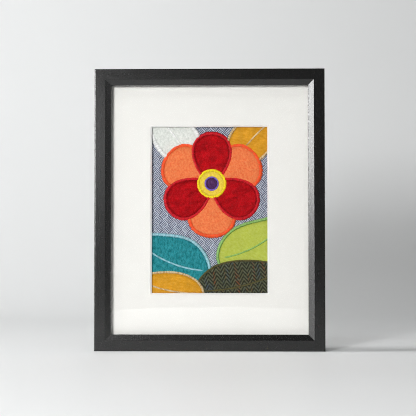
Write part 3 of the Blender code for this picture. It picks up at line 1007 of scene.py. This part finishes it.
class TEXTILE_PICTURE_OT_studio(PictureOperator, bpy.types.Operator):
    """Adds the pale floor and backdrop, the soft lights and the camera"""

    bl_idname = "textile_picture.studio"
    bl_label = "Studio"

    def build(self, settings):
        self.floor()
        self.room()
        self.lights(settings)
        self.camera(settings)
        scene = bpy.context.scene
        scene.view_settings.view_transform = "Standard"
        scene.cycles.denoising_prefilter = "NONE"
        scene.cycles.filter_width = 1.0

    def floor(self):
        """A floor whose back curves up into a wall and whose front ends in a rounded edge."""
        middle, straight_rows, back_rows, columns = -0.3, 30, 12, 41
        turn = np.linspace(0.0, math.pi / 2, 24)[1:]
        y = np.concatenate([np.linspace(FLOOR_FRONT, middle, straight_rows),
                            np.linspace(middle, FLOOR_BACK, back_rows)[1:],
                            FLOOR_BACK + CURVE * np.sin(turn), [FLOOR_BACK + CURVE]])
        z = np.concatenate([np.zeros(straight_rows + back_rows - 1), CURVE * (1 - np.cos(turn)), [WALL_TOP]])
        ahead = y - FLOOR_FRONT
        tip = FRONT_ROUND * np.sqrt(1 - (1 - np.clip(ahead / FRONT_ROUND, 0.0, 1.0)) ** 2)
        half = np.where(y < -0.5, tip + 1.2 * ease((ahead - FRONT_ROUND) / 0.3), FLOOR_HALF)
        across = np.linspace(-1.0, 1.0, columns)
        points = np.stack(np.broadcast_arrays(half[:, None] * across[None], y[:, None], z[:, None]), axis=-1)
        floor = new_mesh("floor", points, grid_quads(len(y), columns))
        shader = Shader("studio_floor", 0.5, (0.800, 0.810, 0.810), specular=0.1)
        behind = shader.node("NewGeometry").outputs["Backfacing"]
        clear = shader.node("BsdfTransparent").outputs[0]
        shader.surface(shader.node("MixShader", {0: behind, 1: shader.base.outputs[0], 2: clear}).outputs[0])
        floor.data.materials.append(shader.material)
        face_way(floor, 2, 1)

    def room(self):
        """The pale wall far in front of the picture, that only shows in reflections."""
        x, z = np.meshgrid(np.linspace(-3.0, 3.0, 2), np.linspace(-1.0, 3.5, 2))
        wall = new_mesh("room_wall", np.stack([x, np.full(x.shape, -6.0), z], axis=-1), grid_quads(2, 2))
        wall.data.materials.append(Shader("room_wall", 0.9, (0.84, 0.84, 0.83)).material)
        wall.visible_camera = wall.visible_diffuse = wall.visible_shadow = False

    def lights(self, settings):
        """Soft lamps in front, at the left and overhead, and the ones that only shine in reflections."""
        lamps = SOFT_LAMPS + tuple(("shine", left, up, SHINE_AWAY, SHINE_SIZE, SHINE_SIZE, power)
                                   for left, up, power in SHINE_LAMPS)
        for name, azimuth, elevation, away, width, height, power in lamps:
            data = bpy.data.lights.new(name, "AREA")
            data.shape, data.size, data.size_y = "RECTANGLE", width, height
            data.energy = power * settings.light
            lamp = bpy.data.objects.new(name, data)
            a, e = math.radians(azimuth), math.radians(elevation)
            way = Vector((-math.sin(a) * math.cos(e), -math.cos(a) * math.cos(e), math.sin(e)))
            lamp.location = way * away + Vector((0.0, 0.0, CENTRE_Z))
            lamp.rotation_mode = "QUATERNION"
            lamp.rotation_quaternion = way.to_track_quat("Z", "Y")
            lamp.visible_camera = False
            lamp.visible_diffuse = name != "shine"
            lamp.visible_glossy = name == "shine"
            bpy.context.scene.collection.objects.link(lamp)
        world = bpy.data.worlds.new("studio")
        world.use_nodes = True
        nodes, links = world.node_tree.nodes, world.node_tree.links
        background = nodes["Background"]
        seen = nodes.new("ShaderNodeLightPath")
        level = nodes.new("ShaderNodeMapRange")
        level.inputs["To Min"].default_value, level.inputs["To Max"].default_value = 0.01, 0.55
        links.new(seen.outputs["Is Camera Ray"], level.inputs["Value"])
        links.new(level.outputs[0], background.inputs["Strength"])
        background.inputs["Color"].default_value = (1.0, 1.0, 1.0, 1.0)
        bpy.context.scene.world = world

    def camera(self, settings):
        """The camera stands a little right of the picture, low, and looks slightly up."""
        data = bpy.data.cameras.new("camera")
        data.sensor_width, data.lens = SENSOR, SENSOR * FOCAL
        data.clip_start, data.clip_end = 0.05, 50.0
        camera = bpy.data.objects.new("camera", data)
        camera.location = (CAMERA_X, -settings.camera_distance, CAMERA_Z)
        camera.rotation_euler = (math.radians(90.0 + LOOKS_UP), 0.0, math.radians(LOOKS_LEFT))
        bpy.context.scene.collection.objects.link(camera)
        bpy.context.scene.camera = camera


class TEXTILE_PICTURE_PT_panel(bpy.types.Panel):
    """Lists the pieces of the framed textile picture"""

    bl_label = "Textile picture"
    bl_idname = "TEXTILE_PICTURE_PT_panel"
    bl_space_type = "VIEW_3D"
    bl_region_type = "UI"
    bl_category = "Textile picture"

    def draw(self, context):
        settings = context.scene.textile_picture
        for name in settings.__annotations__:
            if name not in ("cloths", "threads"):
                self.layout.prop(settings, name)
        for group in (settings.cloths, settings.threads):
            for name in group.__annotations__:
                self.layout.prop(group, name)
        for operator in OPERATORS:
            self.layout.operator(operator.bl_idname)


OPERATORS = (TEXTILE_PICTURE_OT_frame, TEXTILE_PICTURE_OT_glazing, TEXTILE_PICTURE_OT_mat,
             TEXTILE_PICTURE_OT_ground, TEXTILE_PICTURE_OT_cloths, TEXTILE_PICTURE_OT_stitching,
             TEXTILE_PICTURE_OT_back, TEXTILE_PICTURE_OT_studio)
CLASSES = (ClothColours, ThreadColours, PictureSettings, *OPERATORS, TEXTILE_PICTURE_PT_panel)


def register():
    for item in CLASSES:
        bpy.utils.register_class(item)
    bpy.types.Scene.textile_picture = bpy.props.PointerProperty(type=PictureSettings)


def unregister():
    del bpy.types.Scene.textile_picture
    for item in reversed(CLASSES):
        bpy.utils.unregister_class(item)


def main():
    """Builds every piece in order."""
    register()
    for operator in OPERATORS:
        getattr(bpy.ops.textile_picture, operator.bl_idname.split(".")[1])()


if __name__ == "__main__":
    main()
